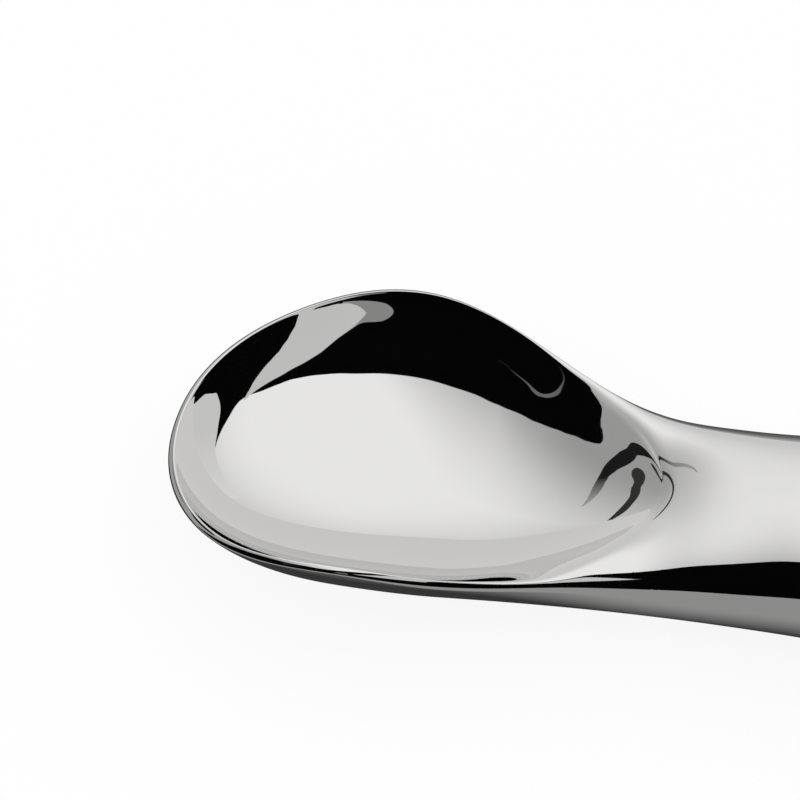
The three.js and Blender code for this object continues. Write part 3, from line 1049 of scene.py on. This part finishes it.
def pale_floor(floor_colour):
    """A matt floor that the camera sees nearly white, with a faint shadow left in it."""
    material = bpy.data.materials.new("pale_floor")
    tree = ShaderTree(material)
    paint = tree.node("ShaderNodeBsdfDiffuse", inputs={"Color": (*floor_colour, 1)})
    white = tree.node("ShaderNodeEmission", inputs={"Strength": 1.0})
    camera = tree.node("ShaderNodeLightPath", out="Is Camera Ray")
    tree.end(tree.node("ShaderNodeMixShader", inputs={0: camera * FLOOR_WHITENESS, 1: paint, 2: white}))
    return material


def rounded(outline, azimuth):
    """Heights of an outline at some azimuths, with its corners rounded off."""
    place, height = np.transpose(outline)
    return np.mean([np.interp(azimuth + step, place, height) for step in CORNER_STEPS], axis=0)


def fullness(along, reach):
    """How much of a card's height is left at a distance from an end that is rounded over a reach."""
    return np.sqrt(1 - np.clip(1 - along / reach, 0, 1) ** 2)


def seen_in_steel_only(card, name, material):
    """Keep a card out of the picture and out of the light, so that only reflections show it."""
    card.name = name
    card.data.materials.append(material)
    card.visible_camera = False
    card.visible_diffuse = False
    card.visible_shadow = False


def flat_card(name, corners, material):
    """A flat card between two opposite corners, lying or standing."""
    start, end = corners
    card, across, up = add_grid(1, 1)
    x = np.where(across > 0, end[0], start[0])
    y = np.where(up > 0, end[1], start[1])
    z = np.where(up > 0, end[2], start[2])
    place_corners(card, x, y, z)
    seen_in_steel_only(card, name, material)


def sky_card(
    name, low, high, material, distance=DOME_RADIUS, start_round=SQUARE_END, end_round=SQUARE_END
):
    """A card curved round the spade, between two outlines, its ends rounded over some degrees."""
    card, across, up = add_grid(CARD_COLUMNS, CARD_ROWS)
    start, end = low[0][0], low[-1][0]
    azimuth = between(start, end, (1 - np.cos(math.pi * (across + 1) / 2)) / 2)
    foot = rounded(low, azimuth)
    top = smooth_curve(high)(azimuth)
    share_left = fullness(azimuth - start, start_round) * fullness(end - azimuth, end_round)
    elevation = np.radians((foot + top) / 2 + (top - foot) / 2 * up * share_left)
    azimuth = np.radians(azimuth)
    x = distance * (np.sin(azimuth) * np.cos(elevation)) + DOME_CENTRE[0]
    y = distance * (-np.cos(azimuth) * np.cos(elevation)) + DOME_CENTRE[1]
    z = distance * np.sin(elevation) + DOME_CENTRE[2]
    place_corners(card, x, y, z)
    seen_in_steel_only(card, name, material)


class SPADE_OT_stage(SpadeOperator):
    """Set up the floor, the cards round the spade, the light and the camera"""

    bl_idname = "spade.stage"
    bl_label = "Studio"

    def execute(self, context):
        stage = context.scene.spade_stage
        self.add_floor(stage)
        self.add_cards()
        self.light_world(context.scene)
        self.add_camera(context.scene, stage)
        context.scene.view_settings.view_transform = "Standard"
        return {"FINISHED"}

    def add_floor(self, stage):
        bpy.ops.object.select_all(action="DESELECT")
        bpy.ops.mesh.primitive_circle_add(vertices=DISC_SIDES, radius=FLOOR_RADIUS, fill_type="NGON")
        floor = bpy.context.object
        floor.name = "floor"
        floor.data.materials.append(pale_floor(stage.floor_colour))

    def add_cards(self):
        """Cards that paint the reflections in the bowl's far wall, its near wall, the crease and the side
        of the handle: black cards paint the dark reflections and glowing cards paint the light ones.
        """
        black = glow("black_card", BLACK)
        end_shade = glow("panel_end", PANEL_END_GLOW)
        front_shade = glow("front_panel", FRONT_PANEL_GLOW)
        side_shade = fading_glow("side_panel", "X", SIDE_PANEL_REACH, SIDE_PANEL_GLOW)
        arc_shade = fading_glow("faint_arc", "X", FAINT_ARC_REACH, FAINT_ARC_GLOW)
        upper_shade = fading_glow("upper_strip", "Y", UPPER_STRIP_REACH, UPPER_STRIP_GLOW)
        lower_shade = glow("lower_strip", LOWER_STRIP_GLOW)
        sky_card("black_flag", BLACK_FLAG_FOOT, BLACK_FLAG_TOP, black, start_round=0.5)
        sky_card("panel_end", PANEL_END_FOOT, PANEL_END_TOP, end_shade, MIDDLE_DISTANCE, start_round=3)
        sky_card(
            "front_panel", FRONT_PANEL_FOOT, FRONT_PANEL_TOP, front_shade, NEAR_DISTANCE, start_round=4
        )
        sky_card("side_panel", SIDE_PANEL_FOOT, SIDE_PANEL_TOP, side_shade, NEAR_DISTANCE, start_round=4)
        sky_card("faint_arc", FAINT_ARC_FOOT, FAINT_ARC_TOP, arc_shade, NEAR_DISTANCE, start_round=1)
        sky_card("upper_strip", UPPER_STRIP_FOOT, UPPER_STRIP_TOP, upper_shade, end_round=2)
        sky_card("lower_strip", LOWER_STRIP_FOOT, LOWER_STRIP_TOP, lower_shade, end_round=3)
        flat_card("black_table", BLACK_TABLE, black)
        flat_card("near_flag", NEAR_FLAG, black)
        flat_card("painted_shadow_board", PAINTED_SHADOW_BOARD, board_with_painted_shadow("painted_shadow_board"))

    def light_world(self, scene):
        """White all round; only in the steel is it painted dimmer to the left and low down, a darkening
        of the reflections that lights nothing.
        """
        world = bpy.data.worlds.new("white_studio")
        tree = ShaderTree(world)
        where = tree.place("Generated")
        x, y, z = (tree.axis(where, letter) for letter in "XYZ")
        glossy = tree.node("ShaderNodeLightPath", out="Is Glossy Ray")
        left = tree.ramp(x + y * LEFT_Y_SHARE + z * LEFT_Z_SHARE, LEFT_REACH, LEFT_DIMMING)
        low = tree.ramp(z, LOW_REACH, LOW_DIMMING)
        shade = in_first_mirror(tree, 1 - glossy * tree.sum("MAXIMUM", left, low))
        light = tree.node("ShaderNodeBackground", inputs={"Color": shade})
        tree.node("ShaderNodeOutputWorld", inputs={"Surface": light})
        scene.world = world

    def add_camera(self, scene, stage):
        d = in_millimetres(scene.spade_sizes)
        azimuth = stage.camera_azimuth
        elevation = stage.camera_elevation
        back = Vector((
            math.sin(azimuth) * math.cos(elevation),
            -math.cos(azimuth) * math.cos(elevation),
            math.sin(elevation),
        ))
        right = Vector((math.cos(azimuth), math.sin(azimuth), 0))
        up = back.cross(right)
        subject_x = stage.subject_from_tip - d.overall_length / 2 * MM
        subject = Vector((subject_x, 0, stage.subject_height))
        place = subject + back * stage.camera_distance
        aim = subject + right * stage.aim_right + up * stage.aim_up
        roll = Quaternion((0, 0, 1), stage.camera_roll)
        bpy.ops.object.camera_add(location=place)
        camera = bpy.context.object
        camera.rotation_euler = ((aim - place).to_track_quat("-Z", "Y") @ roll).to_euler()
        camera.data.sensor_width = stage.sensor_width
        camera.data.lens = stage.focal_length
        camera.data.clip_start, camera.data.clip_end = LENS_REACH
        scene.camera = camera


class SPADE_PT_panel(bpy.types.Panel):
    """Buttons for the pieces and their sizes"""

    bl_label = "Ice Cream Spade"
    bl_idname = "SPADE_PT_panel"
    bl_space_type = "VIEW_3D"
    bl_region_type = "UI"
    bl_category = "Spade"

    def draw(self, context):
        for operator in OPERATORS:
            self.layout.operator(operator.bl_idname)
        for group_name in GROUPS:
            group = getattr(context.scene, group_name)
            box = self.layout.box()
            for name in group.__annotations__:
                box.prop(group, name)


OPERATORS = (
    SPADE_OT_head,
    SPADE_OT_handle_shells,
    SPADE_OT_filler_plug,
    SPADE_OT_handle_core,
    SPADE_OT_stage,
)
GROUPS = {
    "spade_sizes": SpadeSizes,
    "spade_curves": SpadeCurves,
    "spade_finish": SpadeFinish,
    "spade_stage": SpadeStage,
}


def register():
    for group_name, group in GROUPS.items():
        bpy.utils.register_class(group)
        setattr(bpy.types.Scene, group_name, PointerProperty(type=group))
    for operator in OPERATORS:
        bpy.utils.register_class(operator)
    bpy.utils.register_class(SPADE_PT_panel)


def unregister():
    bpy.utils.unregister_class(SPADE_PT_panel)
    for operator in reversed(OPERATORS):
        bpy.utils.unregister_class(operator)
    for group_name, group in GROUPS.items():
        delattr(bpy.types.Scene, group_name)
        bpy.utils.unregister_class(group)


def main():
    register()
    bpy.ops.spade.stage()
    bpy.ops.spade.head()
    bpy.ops.spade.handle_shells()
    bpy.ops.spade.filler_plug()
    bpy.ops.spade.handle_core()


if __name__ == "__main__":
    main()
